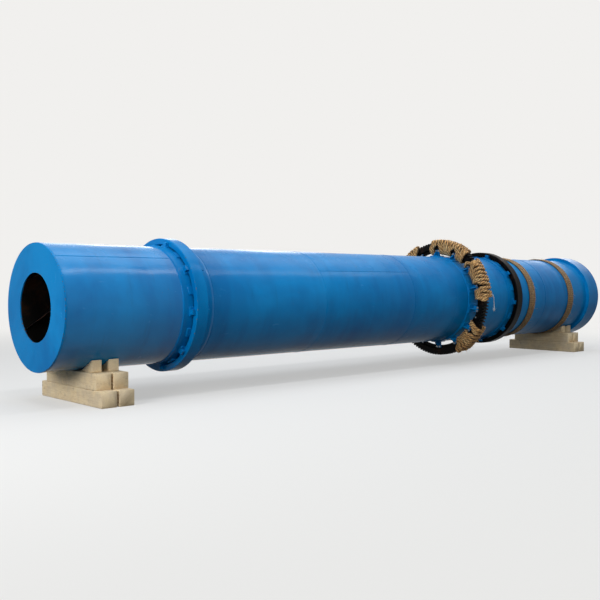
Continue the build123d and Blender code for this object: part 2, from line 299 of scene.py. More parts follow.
def blue_enamel(name, bare_inside=None, gloss=0.05):
    """Alkyd enamel sprayed on rolled plate: a glossy strong blue, a little uneven, with waves in its
    reflections, dust where it faces up, and chips that show rust. The inside, which is what lies within
    the shell's radius or between its ends, is bare mill plate."""
    made, add, place = start(name)
    x = add("SeparateXYZ", place)
    up = add("SeparateXYZ", add("NewGeometry").node.outputs["Normal"]).node.outputs["Z"]
    off_axis = add("Mapping", place, Location=(0, 0, -AXIS_Z), Scale=(0, 1, 1))
    r = add("VectorMath", off_axis, operation="LENGTH")
    # The tone wanders over a metre or so
    tone = add("TexNoise", place, 0.9, 4, 0.6, Distortion=0.4)
    colour = add("Mix", add("MapRange", tone, 0.36, 0.66, **SMOOTH), "#016DAE", "#0383C6", data_type="RGBA")
    # Spray passes, each about 0.25 m wide along the drum
    passes = add("TexNoise", add("Mapping", place, Scale=(1, 0.18, 0.18)), 3.6, 2, 0.5)
    colour = coat(add, colour, passes, 0.4, 0.62, 0.26, "#0A92D6")
    # Grime that ran down from the top, in streaks 30 to 60 mm wide
    streaks = add("TexNoise", add("Mapping", place, Scale=(1, 0.14, 0.14)), 9.0, 4, 0.6, Distortion=0.3)
    colour = coat(add, colour, streaks, 0.54, 0.78, 0.26, "#034B80")
    # Dust settles where the surface looks up, thicker in patches 0.4 m wide
    patches = add("MapRange", add("TexNoise", place, 2.3, 5, 0.62), 0.30, 0.75, **SMOOTH)
    dust = add("Math", add("MapRange", up, 0.15, 1.0, **SMOOTH), patches, operation="MULTIPLY")
    colour = add("Mix", add("Math", dust, 0.10, operation="MULTIPLY"), colour, "#8DB4CE", data_type="RGBA")
    # Rubbed places, a few centimetres across, paler and duller
    rub = add("TexNoise", add("Mapping", place, Scale=(0.35, 1, 1)), 6.5, 5, 0.7, Distortion=0.8)
    rub = add("MapRange", rub, 0.64, 0.72, **SMOOTH)
    colour = add("Mix", add("Math", rub, 0.26, operation="MULTIPLY"), colour, "#45A0DA", data_type="RGBA")
    # Chips about 7 mm across, drawn only where a coarse pattern gathers them
    cells = add("MapRange", add("TexVoronoi", place, 26.0), 0.11, 0.07, **SMOOTH)
    near = add("MapRange", add("TexNoise", place, 1.7, 3, 0.6), 0.56, 0.70, **SMOOTH)
    chip = add("Math", cells, near, operation="MULTIPLY")
    rust = add("Mix", add("TexNoise", place, 90, 2, 0.55), "#3B2A22", "#7A4A2C", data_type="RGBA")
    colour = add("Mix", chip, colour, rust, data_type="RGBA")
    # Glossy at the feed end and dulled by handling towards the outlet end
    dull = add("MapRange", x, -4.0, 4.5, 0.17, 0.33, **SMOOTH)
    rough = add("Mix", dust, add("Mix", rub, dull, 0.40), 0.36)
    # Handling wore the rims of the end plates and the edges of the tyre down to primer and dark steel
    if bare_inside == "ends":
        rim_r = add("Mix", add("Math", x, 0.0, operation="GREATER_THAN"), SHELL_R, COLLAR_R)
        rim = add("MapRange", add("Math", rim_r, r, operation="SUBTRACT"), 0.016, 0.0, **SMOOTH)
        hole = add("MapRange", r, END_HOLE_R + 0.016, END_HOLE_R, **SMOOTH)
        edges = add("Math", hole, rim, operation="MAXIMUM")
    else:
        aside = add("Math", add("Math", x, FEED_TYRE_X, operation="SUBTRACT"), operation="ABSOLUTE")
        aside = add("MapRange", aside, TYRE_HALF_WIDTH - 0.017, TYRE_HALF_WIDTH - 0.003, **SMOOTH)
        tread = add("MapRange", r, TYRE_R - 0.016, TYRE_R - 0.003, **SMOOTH)
        edges = add("Math", aside, tread, operation="MULTIPLY")
    near = add("MapRange", edges, 0.0, 0.2, **SMOOTH)
    worn = add("Math", edges, 0.14, add("TexNoise", place, 27, 4, 0.7), operation="MULTIPLY_ADD")
    worn = add("Math", add("MapRange", worn, 0.70, 0.73, **SMOOTH), near, operation="MULTIPLY")
    steel = add("Mix", add("TexNoise", place, 60, 2, 0.55), "#70797F", "#3B332E", data_type="RGBA")
    colour = add("Mix", worn, colour, steel, data_type="RGBA")
    # Orange peel over the plate's own waves, half a metre long. Real peel is 2 mm wide, too fine to show,
    # so it is drawn 8 mm wide
    peel = add("Bump", Distance=0.00022, Height=add("TexNoise", place, 130, 2, 0.5))
    waves = add("TexNoise", add("Mapping", place, Scale=(1, 1.3, 1.3)), 1.9, 2, 0.5)
    normal = add("Bump", Distance=0.010, Height=waves, Normal=peel)
    sunk = add("Math", chip, worn, operation="MAXIMUM")
    normal = add("Bump", Distance=-0.0003, Height=sunk, Normal=normal)
    metallic = 0.0
    if bare_inside:
        if bare_inside == "radius":
            inside = add("Math", r, SHELL_R - 0.004, operation="LESS_THAN")
        else:
            inside = add("Math", add("Math", x, operation="ABSOLUTE"), HALF_LENGTH - END_PLATE + 0.002,
                         operation="LESS_THAN")
        # Rust in patches 0.3 m wide
        rust = add("MapRange", add("TexNoise", place, 3.1, 6, 0.68), 0.40, 0.68, **SMOOTH)
        plate = add("Mix", rust, "#3A3836", "#6B4630", data_type="RGBA")
        colour = add("Mix", inside, colour, plate, data_type="RGBA")
        rough = add("Mix", inside, rough, add("Mix", rust, 0.5, 0.85))
        metallic = add("Mix", inside, 0.0, add("Mix", rust, 0.75, 0.1))
    add("OutputMaterial", add("BsdfPrincipled", Base_Color=colour, Roughness=rough, Metallic=metallic,
                              Normal=normal, Specular_IOR_Level=gloss))
    return made


def mill_plate(name):
    """Hot-rolled plate as cut and welded: blue-grey mill scale, with rust where it was handled, in patches
    0.2 m wide, speckles 26 mm wide and shallow pits 17 mm wide."""
    made, add, place = start(name)
    rust = add("MapRange", add("TexNoise", place, 5.0, 6, 0.7, Distortion=0.4), 0.42, 0.66, **SMOOTH)
    colour = add("Mix", rust, "#45464A", "#7B4D33", data_type="RGBA")
    colour = coat(add, colour, add("TexNoise", place, 38, 4, 0.55), 0.5, 0.7, 0.5, "#2B2421")
    pits = add("Bump", Distance=0.0004, Height=add("TexNoise", place, 60, 4, 0.55))
    add("OutputMaterial", add("BsdfPrincipled", Base_Color=colour, Roughness=add("Mix", rust, 0.45, 0.85),
                              Metallic=add("Mix", rust, 0.8, 0.1), Normal=pits))
    return made


def greased_steel(name):
    """Machined cast steel under a film of black transport grease: near black, wet in some patches and
    dulled by dust in others, brown where rust comes through, with smears drawn along the drum."""
    made, add, place = start(name)
    # The film is thicker and thinner over 140 mm, and dust sticks to it in spots 60 mm wide
    film = add("MapRange", add("TexNoise", place, 7.0, 5, 0.65, Distortion=0.6), 0.36, 0.68, **SMOOTH)
    colour = add("Mix", film, "#060607", "#11100F", data_type="RGBA")
    dust = add("MapRange", add("TexNoise", place, 16.0, 5, 0.7), 0.58, 0.78, **SMOOTH)
    colour = add("Mix", add("Math", dust, 0.40, operation="MULTIPLY"), colour, "#332E29", data_type="RGBA")
    # Rust comes through in patches 180 mm wide
    colour = coat(add, colour, add("TexNoise", place, 5.5, 5, 0.65), 0.54, 0.70, 0.45, "#3A2419")
    # More dust settles where the surface looks up, in patches 110 mm wide
    up = add("SeparateXYZ", add("NewGeometry").node.outputs["Normal"]).node.outputs["Z"]
    patches = add("MapRange", add("TexNoise", place, 9.0, 5, 0.65), 0.35, 0.7, 0.0, 0.30, **SMOOTH)
    settled = add("Math", add("MapRange", up, 0.5, 1.0, **SMOOTH), patches, operation="MULTIPLY")
    colour = add("Mix", settled, colour, "#4B443B", data_type="RGBA")
    rough = add("Mix", dust, add("Mix", film, 0.30, 0.50), 0.72)
    # Smears 20 mm wide and twice as long
    smears = add("TexNoise", add("Mapping", place, Scale=(0.5, 1, 1)), 48, 4, 0.6)
    add("OutputMaterial", add("BsdfPrincipled", Base_Color=colour, Roughness=rough,
                              Normal=add("Bump", Distance=0.0012, Height=smears), Specular_IOR_Level=0.05))
    return made


def straw_rope(name, weathered):
    """Rope spun from dry rice straw: stalks 3 to 4 mm wide lie along each strand, from pale gold to
    brown, with painted shade between the strands and a faint waxy sheen. Weathered straw is greyed in
    patches."""
    made, add, place = start(name)
    along = add("Attribute", attribute_name="along").node.outputs["Vector"]
    depth = add("VectorMath", add("Mapping", along, Scale=(1, 1, 0)), operation="LENGTH")
    # Stalks, tufts of them 12 mm wide, bundles 38 mm wide, and a tone that wanders over 0.2 m of the rope
    stalks = add("TexNoise", add("Mapping", along, Scale=(1, 1, 0.05)), 300, 3, 0.6)
    tufts = add("TexNoise", add("Mapping", along, Scale=(1, 1, 0.10)), 85, 3, 0.6)
    bundles = add("TexNoise", add("Mapping", along, Scale=(1, 1, 0.45)), 26, 3, 0.6)
    tone = add("TexNoise", place, 4.5, 3, 0.6)
    colour = add("Mix", add("MapRange", tufts, 0.34, 0.66, **SMOOTH), "#D08B45", "#FFC97A", data_type="RGBA")
    colour = coat(add, colour, bundles, 0.50, 0.66, 0.55, "#FFE2A6")
    colour = coat(add, colour, bundles, 0.48, 0.34, 0.50, "#8F5A2B")
    colour = coat(add, colour, stalks, 0.44, 0.68, 0.6, "#F6D9A8")
    colour = coat(add, colour, stalks, 0.46, 0.28, 0.75, "#5E4020")
    colour = coat(add, colour, tone, 0.46, 0.68, 0.30, "#93663A")
    if weathered:
        grey = add("TexNoise", place, 6.0, 4, 0.6)
        grey = add("MapRange", grey, 0.36, 0.64, 0.35 * weathered, weathered, **SMOOTH)
        colour = add("Mix", grey, colour, "#B9AF9E", data_type="RGBA")
    # The valleys between strands lie nearer the rope's middle, and painted shade darkens them
    dark = add("MapRange", depth, *VALLEY, 0.8, 0.0, **SMOOTH)
    colour = add("Mix", dark, colour, "#352411", data_type="RGBA")
    normal = add("Bump", Distance=0.0022, Height=stalks, Normal=add("Bump", Distance=0.004, Height=tufts))
    add("OutputMaterial", add("BsdfPrincipled", Base_Color=colour, Roughness=0.72, Normal=normal,
                              Sheen_Weight=0.12, Sheen_Roughness=0.5, Specular_IOR_Level=0.2))
    return made


def sawn_pine(name):
    """Rough-sawn pine that has lain outdoors: growth rings 9.5 mm apart that run as stripes along the
    faces and as arcs on the ends, saw marks across the grain, greyed and dirty patches."""
    made, add, place = start(name)
    along = add("Attribute", attribute_name="along").node.outputs["Vector"]
    # The rings bend by up to 55 mm over half a metre
    bent = add("TexNoise", add("Mapping", along, Scale=(1, 1, 0.30)), 2.4, 3, 0.5)
    radius = add("VectorMath", add("Mapping", along, Scale=(1, 1, 0)), operation="LENGTH")
    radius = add("Math", bent, 0.055, radius, operation="MULTIPLY_ADD")
    ring = add("Math", add("Math", radius, 105.0, operation="MULTIPLY"), operation="FRACT")
    strength = add("MapRange", add("TexNoise", place, 9.0, 3, 0.55), 0.25, 0.75, 0.35, 1.0, **SMOOTH)
    late = add("Math", add("MapRange", ring, 0.35, 0.95, **SMOOTH), strength, operation="MULTIPLY")
    colour = add("Mix", late, "#E6D1A8", "#B98C56", data_type="RGBA")
    # Fibres, which are under 1 mm wide and too fine to show, are drawn 4 mm wide. Grey patches are 0.2 m
    # wide and dirt is in spots 80 mm wide
    fibre = add("TexNoise", add("Mapping", along, Scale=(1, 1, 0.03)), 240, 3, 0.6)
    colour = coat(add, colour, fibre, 0.42, 0.7, 0.4, "#F4E7CB")
    colour = coat(add, colour, fibre, 0.42, 0.28, 0.4, "#8E6B42")
    colour = coat(add, colour, add("TexNoise", place, 4.5, 5, 0.65), 0.36, 0.68, 0.40, "#BDB3A2")
    colour = coat(add, colour, add("TexNoise", place, 13.0, 5, 0.7), 0.58, 0.72, 0.45, "#6F5E49")
    # Saw marks, 9 mm apart and shallow, in patches
    saw = add("TexNoise", add("Mapping", along, Scale=(0.05, 0.05, 1)), 110, 2, 0.5)
    patches = add("MapRange", add("TexNoise", place, 6.0, 2, 0.55), 0.4, 0.6, **SMOOTH)
    saw = add("Math", saw, patches, operation="MULTIPLY")
    normal = add("Bump", Distance=0.0005, Height=late, Normal=add("Bump", Distance=0.0008, Height=fibre))
    normal = add("Bump", Distance=0.0008, Height=saw, Normal=normal)
    add("OutputMaterial", add("BsdfPrincipled", Base_Color=colour, Roughness=0.78, Normal=normal))
    return made


def baling_string(name):
    """Polypropylene baling string split into fine fibres: white, a little yellowed and dusty, with a soft
    shine along the fibres. The fibres, a tenth of a millimetre wide and too fine to show, are drawn 1 mm
    wide, and the dirt is in spots 40 mm wide."""
    made, add, place = start(name)
    along = add("Attribute", attribute_name="along").node.outputs["Vector"]
    fibres = add("TexNoise", add("Mapping", along, Scale=(1, 1, 0.04)), 900, 2, 0.5)
    colour = add("Mix", add("MapRange", fibres, 0.35, 0.65, **SMOOTH), "#E2E3E0", "#F8F8F5", data_type="RGBA")
    colour = coat(add, colour, add("TexNoise", place, 24, 4, 0.6), 0.5, 0.75, 0.3, "#B5B0A2")
    add("OutputMaterial", add("BsdfPrincipled", Base_Color=colour, Roughness=0.5,
                              Normal=add("Bump", Distance=0.0005, Height=fibres)))
    return made


def zinc_bolt(name):
    """Hot-dip galvanised bolts: dull mottled grey metal with soft spangles 6 mm across."""
    made, add, place = start(name)
    spangle = add("TexNoise", place, 160, 3, 0.6)
    colour = add("Mix", add("MapRange", spangle, 0.4, 0.62, **SMOOTH), "#7F8488", "#A9AEB1", data_type="RGBA")
    rough = add("MapRange", spangle, 0.3, 0.7, 0.36, 0.6, **SMOOTH)
    add("OutputMaterial", add("BsdfPrincipled", Base_Color=colour, Roughness=rough, Metallic=1.0))
    return made


# The paint shines most at the feed end, and each rolled length after it a little less
shell_enamels = [blue_enamel(f"blue_enamel_on_rolled_plate_{k + 1}", "radius", gloss)
                 for k, gloss in enumerate(COURSE_GLOSS)]
plate_enamel = blue_enamel("blue_enamel_on_end_plate", "ends", 0.02)
part_enamel = blue_enamel("blue_enamel_on_welded_parts")
grease = greased_steel("black_grease_on_cast_steel")
scale = mill_plate("mill_scale_on_hot_rolled_plate")
straw = straw_rope("twisted_rice_straw", 0.0)
old_straw = straw_rope("weathered_rice_straw", 0.45)
pine = sawn_pine("rough_sawn_pine")
zinc = zinc_bolt("galvanised_bolt_steel")
twine = baling_string("split_polypropylene_string")

for name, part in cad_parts.items():
    if name.startswith("shell_course"):
        finish = shell_enamels[int(name[-1]) - 1]
    elif name.startswith("seal_collar"):
        finish = shell_enamels[-1]
    elif name.endswith("end_plate"):
        finish = plate_enamel
    elif name == "outlet_tyre" or name.startswith("girth_gear"):
        finish = grease
    elif name.startswith(("lifting_flights", "feed_vanes")):
        finish = scale
    elif name.startswith("straw"):
        finish = straw
    elif name == "loose_string":
        finish = twine
    elif name.endswith(("timbers", "chocks")):
        finish = pine
    else:
        finish = part_enamel
    if not part.material_slots:
        part.data.materials.append(finish)
    for slot in part.material_slots:
        slot.material = finish


# Straw rope

def wander(rng, s, size, length):
    """A smooth random walk about 0: the mean of three sines of s, times 1.7, whose lengths are near
    `length` and whose phases are left to chance."""
    waves = length * rng.uniform(0.6, 1.7, 3)
    phases = rng.uniform(0, TAU, 3)
    return size * np.sin(TAU * s[..., None] / waves + phases).mean(axis=-1) * 1.7


def rope(rng, path, across, half_out, half_across, lay, columns, strands=3):
    """A laid rope: the outline of touching round strands, turned once in each `lay` of its length and
    flattened to half_out by half_across, carried along the path. A strand of radius p shows at an angle a
    from its middle at the radius (1 - p) cos a + the root of (p squared - ((1 - p) sin a) squared). The
    rope's ends are drawn in to a blunt tip."""
    tangent = unit(np.gradient(path, axis=0))
    across = unit(across - (across * tangent).sum(axis=1, keepdims=True) * tangent)
    out = np.cross(tangent, across)
    s = length_along(path)
    angle = np.arange(columns) / columns * TAU
    turned = angle[None, :] - TAU * s[:, None] / lay
    strand_r = np.sin(np.pi / strands) / (1 + np.sin(np.pi / strands))
    centre = 1 - strand_r
    off = np.mod(turned, TAU / strands) - np.pi / strands
    inside = np.clip(strand_r ** 2 - (centre * np.sin(off)) ** 2, 0, None)
    outline = np.clip(centre * np.cos(off) + np.sqrt(inside), 0.74, 1)
    outline = outline * (1 + wander(rng, s[:, None] + 0.05 * angle[None, :], 0.05, 0.05))
    tip = np.clip(np.minimum(s, s[-1] - s) / (1.5 * half_across), 0.0, 1)
    outline = outline * np.sqrt(np.clip(1 - (1 - tip) ** 2, 0.03, 1))[:, None]
    points = (path[:, None] + out[:, None] * (half_out * outline * np.cos(angle))[..., None]
              + across[:, None] * (half_across * outline * np.sin(angle))[..., None])
    # The marks draw in towards the sides too, so that painted shade darkens the grooves between turns as well
    depth = ROPE_MARK_R * outline * (1 - 0.26 * np.sin(angle) ** 4)
    along = np.broadcast_to(s[:, None], turned.shape)
    marks = np.stack([depth * np.cos(turned), depth * np.sin(turned), along], axis=-1)
    return points.reshape(-1, 3), tube_faces(len(path), columns), marks.reshape(-1, 3)


def rounded_loop(corners, count, smoothing):
    """A closed polygon at even steps, from the middle of its first side, with its corners rounded by a
    running mean over `smoothing` steps."""
    begin = (corners[0] + corners[1]) / 2
    line = np.vstack([begin, corners[1:], corners[0], begin])
    length = length_along(line)
    at = np.arange(count) / count * length[-1]
    even = np.stack([np.interp(at, length, line[:, k]) for k in (0, 1)], axis=-1)
    window = np.arange(-(smoothing // 2), smoothing // 2 + 1)
    return even[(np.arange(count)[:, None] + window) % count].mean(axis=1)


def clear_of_brackets(clock, keep=0.165):
    """A clock angle in degrees moved between the brackets: the span from one to the next is squeezed
    evenly so that a share `keep` of it stays free at either end."""
    u = (clock - FIRST_BRACKET) / BRACKET_STEP
    return FIRST_BRACKET + BRACKET_STEP * (np.floor(u) + keep + (1 - 2 * keep) * (u - np.floor(u)))


def gear_winding(rng, clock_from, clock_to, lift=0.0, pitch=3.8, half=0.0225, slant=0.0):
    """Rope wound round the gear's rim and web. Each turn goes out over the teeth, down one side face,
    inside the web between two brackets and up the other face, while its clock angle goes on by a pitch."""
    turns = int(round((clock_to - clock_from) / pitch))
    per_turn, turn_length = 76, 0.62
    face, tip, web = GEAR_HALF_FACE + half + lift, GEAR_TIP_R + half + lift, WEB_HALF + half
    # One turn's corners in x and radius. It stands a few millimetres off each edge that it passes
    corners = np.array([(-face - 0.006, tip + 0.007), (face + 0.006, tip + 0.007),
                        (face + 0.004, RIM_INNER_R - 0.012), (web + 0.004, WEB_INNER_R - half),
                        (-web - 0.004, WEB_INNER_R - half), (-face - 0.004, RIM_INNER_R - 0.012)])
    loop = rounded_loop(corners, per_turn, 7)
    turn = np.repeat(np.arange(turns), per_turn)
    q = np.tile(np.arange(per_turn) / per_turn, turns)
    x, r = np.tile(loop[:, 0], turns), np.tile(loop[:, 1], turns)
    outer = clock_from + pitch * (turn + q) + slant * x / face
    inner = clear_of_brackets(clock_from + pitch * (turn + 0.5)) + 0.5 * pitch * (q - 0.5)
    # From radius 0.985 down to 0.9 the turns draw together to pass between the brackets
    down = np.clip((0.985 - r) / 0.085, 0, 1)
    down = down * down * (3 - 2 * down)
    s = (turn + q) * turn_length
    clock = outer + (inner - outer) * down + wander(rng, s, 0.42, 0.5) * (1 - down)
    # On the rim it swells by a few millimetres here and there, away from the rim's middle at radius 0.93
    swell = np.abs(wander(rng, s, 0.006, 0.37)) * (1 - down)
    outwards = np.stack([x / face, (r - 0.93) / 0.08], axis=-1)
    outwards /= np.maximum(np.linalg.norm(outwards, axis=1, keepdims=True), 0.5)
    x, r = x + outwards[:, 0] * swell, r + outwards[:, 1] * swell
    clock = np.radians(clock)
    path = on_drum(GEAR_X + x, r, clock)
    round_drum = np.stack([0 * clock, -np.cos(clock), -np.sin(clock)], axis=-1)
    half_across = np.radians(pitch) * GEAR_TIP_R / 2
    return rope(rng, path, round_drum, half * 0.98, half_across * 0.99, lay=0.24, columns=20, strands=4)


def straws(rng, count, places, outward, length, half=0.0011):
    """Loose stalks: thin three-sided blades that leave their place outwards and to a side, narrow to 0.3
    of their width, and bend down along a parabola."""
    rows, sides = 5, 3
    steps = np.linspace(0, 1, rows)
    pick = rng.integers(0, len(places), count)
    side = rng.normal(size=(count, 3))
    lead = unit(outward[pick] * rng.uniform(0.25, 1.0, (count, 1)) + side * 0.45)
    size = rng.uniform(*length, (count, 1, 1))
    t = steps[None, :, None]
    line = places[pick][:, None] + lead[:, None] * size * t
    line = line + np.array([0, 0, -1.0]) * size * t ** 2 * rng.uniform(0.1, 0.6, (count, 1, 1))
    flat = unit(np.cross(lead, rng.normal(size=(count, 3))))
    up = np.cross(lead, flat)
    angle = np.arange(sides) / sides * TAU
    width = half * (1 - 0.7 * steps)[None, :, None, None]
    points = line[:, :, None] + width * (flat[:, None, None] * np.cos(angle)[:, None]
                                         + up[:, None, None] * np.sin(angle)[:, None])
    # Each stalk shows its own part of the straw's pattern
    marks = np.zeros_like(points)
    marks[..., 0] = np.arange(count)[:, None, None] * 0.01
    marks[..., 2] = steps[None, :, None] * 0.1
    return *copies(points.reshape(count, -1, 3), tube_faces(rows, sides)), marks.reshape(-1, 3)


for k, (clock_from, clock_to) in enumerate(WRAP_ANGLES):
    rng = np.random.default_rng(WRAP_SEED + k)
    ropes = [gear_winding(rng, clock_from, clock_to)]
    # A few turns on top at both ends bind the first layer
    thin = {"lift": 0.014, "pitch": 2.6, "half": 0.012}
    ropes.append(gear_winding(rng, clock_from + 1.2, clock_from + 6.4, slant=1.2, **thin))
    ropes.append(gear_winding(rng, clock_to - 6.6, clock_to - 1.4, slant=-1.2, **thin))
    # Stalks stand off the teeth, and off the sides too
    places = ropes[0][0]
    outward, distance = from_axis(places)
    outward[:, 0] = (places[:, 0] - GEAR_X) / 0.1
    outward = unit(outward)
    far = distance > GEAR_TIP_R - 0.05
    ropes.append(straws(rng, WRAP_STALKS, places[far], outward[far], (0.02, 0.055)))
    piece(f"straw_rope_wrap_{k + 1}", join_marked(ropes), straw, (f"straw_wrap_{k + 1}",))


def shell_winding(rng, centre, width):
    """Rope wound round the shell, turn beside turn: a flat screw line whose x grows evenly with its
    clock angle, and whose ends are drawn in."""
    turns, per_turn = 8, 560
    half_across = width / turns / 2 * 1.04
    half_out = 0.0115
    count = int(turns * per_turn * 0.985)
    clock = np.arange(count) / per_turn * TAU
    s = clock * SHELL_R
    x = centre - width / 2 + half_across + (width - 2 * half_across) * clock / clock[-1]
    x = x + wander(rng, s, 0.0022, 0.9)
    r = SHELL_R + 0.0008 + half_out + np.abs(wander(rng, s, 0.0025, 0.6))
    path = on_drum(x, r, clock + np.radians(STRAW_BAND_START))
    along_drum = np.tile([1.0, 0, 0], (count, 1))
    return rope(rng, path, along_drum, half_out, half_across, lay=0.12, columns=12)


for k, centre in enumerate(BAND_CENTRES):
    rng = np.random.default_rng(BAND_SEED + k)
    ropes = [shell_winding(rng, centre, STRAW_BAND_LENGTH)]
    places = ropes[0][0]
    outward, distance = from_axis(places)
    top = distance > SHELL_R + 0.018
    ropes.append(straws(rng, BAND_STALKS, places[top], outward[top], (0.02, 0.07)))
    piece(f"straw_rope_band_{k + 1}", join_marked(ropes), old_straw, (f"straw_band_{k + 1}",))


# Loose string

def route_points(points):
    """Points close together on the NURBS curve that has the route as its control points."""
    curve = bpy.data.curves.new("string_route", "CURVE")
    curve.dimensions = "3D"
    curve.resolution_u = 24
    spline = curve.splines.new("NURBS")
    spline.points.add(len(points) - 1)
    weighted = np.column_stack([points, np.ones(len(points))])
    spline.points.foreach_set("co", weighted.astype(np.float32).ravel())
    spline.order_u = 3
    spline.use_endpoint_u = True
    holder = bpy.data.objects.new("string_route", curve)
    line = bpy.data.meshes.new_from_object(holder)
    found = np.zeros(len(line.vertices) * 3, dtype=np.float32)
    line.vertices.foreach_get("co", found)
    bpy.data.objects.remove(holder)
    bpy.data.curves.remove(curve)
    bpy.data.meshes.remove(line)
    return found.reshape(-1, 3).astype(float)


def twisted_string(path):
    """Three touching strands turned together once in each lay along the path: each is a round tube whose
    middle goes round the path's on a screw line. Gives the string and the line along its middle."""
    along = length_along(path)
    row_step, sides, strands = 0.0016, 9, 3
    rows = int(along[-1] / row_step)
    even = np.linspace(0, along[-1], rows)
    line = np.stack([np.interp(even, along, path[:, k]) for k in range(3)], axis=-1)
    window = np.ones(5) / 5
    padded = np.pad(line, ((2, 2), (0, 0)), mode="reflect", reflect_type="odd")
    line = np.stack([np.convolve(padded[:, k], window, mode="valid") for k in range(3)], axis=-1)
    tangent = unit(np.gradient(line, axis=0))
    side = unit(np.cross(tangent, [0.0, 1.0, 0.0]))
    other = np.cross(tangent, side)
    strand_r = STRING_DIAMETER / 2 * 0.46
    centre_r = STRING_DIAMETER / 2 - strand_r
    angle = np.arange(sides) / sides * TAU
    shapes = []
    for strand in range(strands):
        turn = TAU * (even / STRING_LAY + strand / strands)[:, None]
        middle = line + centre_r * (np.cos(turn) * side + np.sin(turn) * other)
        ring = (side[:, None] * np.cos(angle)[:, None] + other[:, None] * np.sin(angle)[:, None]) * strand_r
        points = middle[:, None] + ring
        marks = np.zeros_like(points)
        marks[..., 0], marks[..., 1] = ROPE_MARK_R * np.cos(angle), ROPE_MARK_R * np.sin(angle)
        marks[..., 2] = even[:, None] + strand
        shapes.append((points.reshape(-1, 3), tube_faces(rows, sides), marks.reshape(-1, 3)))
    return join_marked(shapes), line


shape, string_line = twisted_string(route_points(np.array(STRING_EXIT) + np.array(STRING_ROUTE)))
string = piece("baling_string", shape, twine, ("loose_string",))

# Fibres stand off all along the string, and its cut end is frayed
rng = np.random.default_rng(STRING_SEED)
sideways = rng.normal(size=string_line.shape)
fuzz = straws(rng, STRING_FIBRES, string_line, sideways, (0.006, 0.017), 0.0006)
tail = string_line[-8:]
downwards = np.tile([0.0, 0.0, -1.6], (len(tail), 1))
frayed = straws(rng, FRAYED_FIBRES, tail, downwards, (0.02, 0.05), 0.0008)
fibres = piece("baling_string_fibres", join_marked([fuzz, frayed]), twine)


# Weld beads

def bead(path, across, outward, size, closed):
    """A weld bead: half an ellipse, a half width to each side and a height high, carried along the path,
    with ripples of two sines in its height and its feet sunk 1.2 mm."""
    half_width, height = size
    columns = 6
    angle = np.linspace(0, np.pi, columns)
    row = np.arange(len(path))[:, None]
    ripple = 1 + 0.14 * np.sin(row * 2.4) + 0.06 * np.sin(row * 0.37)
    side = half_width * np.cos(angle) * (0.94 + 0.06 * ripple)
    rise = height * np.sin(angle) * ripple
    rise[:, [0, -1]] -= 0.0012
    points = path[:, None] + across[:, None] * side[..., None] + outward[:, None] * rise[..., None]
    faces = [grid(len(path), columns, close_rows=True)] if closed else tube_faces(len(path), columns)
    return points.reshape(-1, 3), faces


def round_bead(x, r, size, lean=0.0):
    """A bead round the drum; lean turns its arch from facing outwards towards +X, for a fillet."""
    rows = int(TAU * r / BEAD_STEP)
    clock = np.arange(rows) / rows * TAU
    radial = on_drum(0.0, 1.0, clock) - AXIS
    along = np.tile([1.0, 0, 0], (rows, 1))
    outward = radial * np.cos(lean) + along * np.sin(lean)
    across = along * np.cos(lean) - radial * np.sin(lean)
    return bead(on_drum(x, r, clock), across, outward, size, True)


def straight_bead(x_from, x_to, clock):
    """A bead on the shell along a line of one clock angle, from one ring seam to the next."""
    rows = int((x_to - x_from) / BEAD_STEP)
    clock = np.full(rows, np.radians(clock))
    radial = on_drum(0.0, 1.0, clock) - AXIS
    across = np.cross(radial, [1.0, 0, 0])
    return bead(on_drum(np.linspace(x_from, x_to, rows), SHELL_R, clock), across, radial, SEAM_BEAD, False)


def bead_round_plate(x_from, x_to, half_width):
    """A fillet along the foot of a curved plate at the top of a raised band, measured from the axis: a
    closed path just outside its four sides, whose arch leans halfway between outwards and away from it."""
    out = OFF_CORNER
    corners = np.array([(x_from - out, -half_width - out), (x_to + out, -half_width - out),
                        (x_to + out, half_width + out), (x_from - out, half_width + out)])
    flat = rounded_loop(corners, int(2 * (x_to - x_from + 2 * half_width) / 0.011), 3)
    clock = -flat[:, 1] / BAND_R
    path = on_drum(flat[:, 0], BAND_R + out * 0.5, clock) - AXIS
    radial = on_drum(0.0, 1.0, clock) - AXIS
    tangent = unit(np.roll(path, -1, axis=0) - np.roll(path, 1, axis=0))
    outward = (radial + unit(np.cross(tangent, radial))) / np.sqrt(2)
    return bead(path, np.cross(outward, tangent), outward, PLATE_BEAD, True)


# Ring seams between the rolled lengths, and one seam along each length, staggered
seam_x = np.linspace(-HALF_LENGTH + END_PLATE, HALF_LENGTH - END_PLATE, COURSES + 1)
seams = [round_bead(x, SHELL_R, SEAM_BEAD) for x in seam_x[1:-1]]
seam_x[-1] = COLLAR_X
for k, clock in enumerate(SEAM_CLOCKS):
    seams.append(straight_bead(seam_x[k] + 0.01, seam_x[k + 1] - 0.01, clock))
piece("shell_weld_seams", join(seams), part_enamel)

# Fillets where bands, end plate and collar meet the shell
fillets = []
for middle, length in ((FEED_TYRE_X, TYRE_BAND_LENGTH), (OUTLET_TYRE_X, TYRE_BAND_LENGTH),
                       (GEAR_X, GEAR_BAND_LENGTH)):
    for side in (-1, 1):
        x = middle + side * (length / 2 + OFF_CORNER)
        fillets.append(round_bead(x, SHELL_R + OFF_CORNER, FILLET, side * LEAN))
fillets.append(round_bead(COLLAR_X - OFF_CORNER, SHELL_R + OFF_CORNER, FILLET, -LEAN))
fillets.append(round_bead(COLLAR_X + 0.001, COLLAR_R - 0.001, COLLAR_BEAD, -LEAN))
fillets.append(round_bead(HALF_LENGTH - END_PLATE, COLLAR_R, EDGE_BEAD))
fillets.append(round_bead(-HALF_LENGTH + END_PLATE, SHELL_R, EDGE_BEAD))
piece("fillet_welds", join(fillets), part_enamel)

